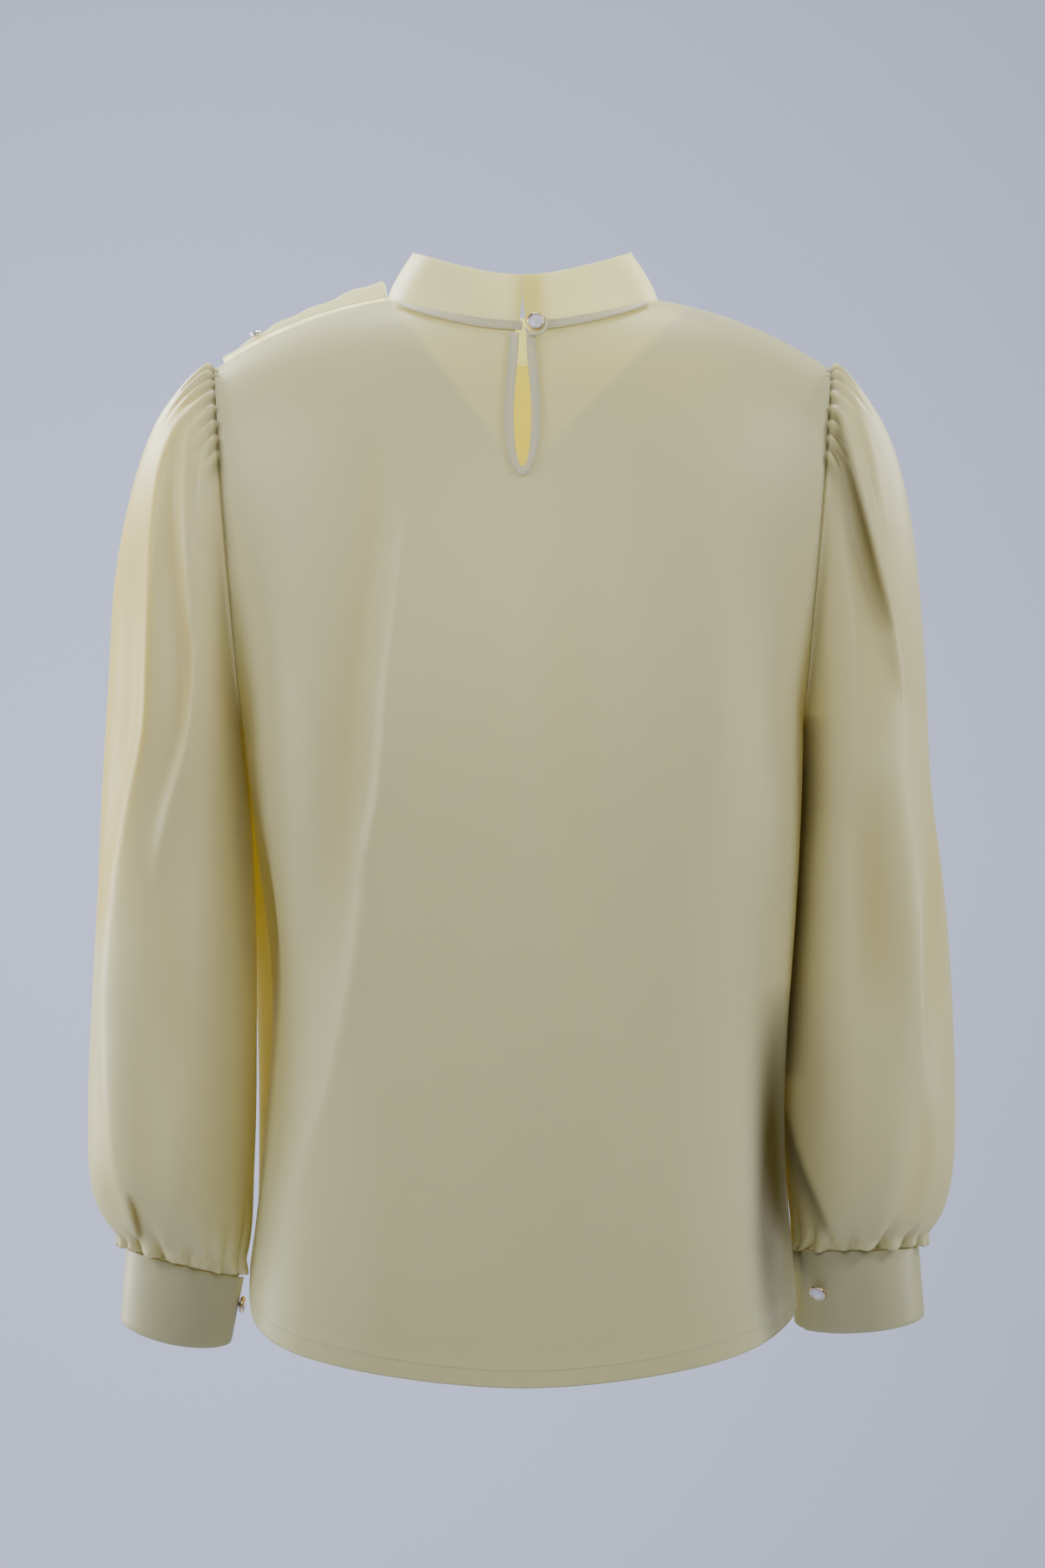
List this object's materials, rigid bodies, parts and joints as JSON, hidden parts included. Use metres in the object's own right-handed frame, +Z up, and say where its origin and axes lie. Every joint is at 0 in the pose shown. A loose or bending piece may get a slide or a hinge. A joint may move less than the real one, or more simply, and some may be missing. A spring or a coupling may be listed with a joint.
{
  "type": "blouse",
  "caption": "Worn blouse with a stand collar, bound keyhole back, full sleeves gathered into buttoned cuffs, a pleated drape on one shoulder and a curved hem",
  "frame": {"origin": "centre of the neck at the base of the stand collar, where the garment is held on its wearer", "axes": "+Z up, +Y towards the wearer's front, +X towards the wearer's right; millimetres in the source, metres here"},
  "size_m": [0.55, 0.2318, 0.7084],
  "materials": {
    "satin_cloth": "soft pale yellow-cream satin chiffon, lightly see-through",
    "doubled_cloth": "the same cloth sewn double, smoother and less see-through",
    "binding_cloth": "bias-cut strip of the same cloth, folded",
    "warm_metal": "polished pale gold rim",
    "pearl": "pearly white button face",
    "silver_metal": "polished silver setting",
    "clear_stone": "clear cut stone, sparkling"
  },
  "bodies": {
    "root": {"back": "satin_cloth", "front": "satin_cloth", "sleeve_left": "satin_cloth", "sleeve_right": "satin_cloth", "collar": "doubled_cloth", "cuff_left": "doubled_cloth", "cuff_right": "doubled_cloth", "shoulder_drape": "satin_cloth", "neck_binding_left": "binding_cloth", "neck_binding_right": "binding_cloth", "keyhole_binding": "binding_cloth", "button_loop": "binding_cloth", "neck_button_rim": "warm_metal", "neck_button_face": "pearl", "cuff_button_left_rim": "warm_metal", "cuff_button_left_face": "pearl", "cuff_button_right_rim": "warm_metal", "cuff_button_right_face": "pearl", "shoulder_stone_rim": "silver_metal", "shoulder_stone_face": "clear_stone"}
  },
  "joints": []
}
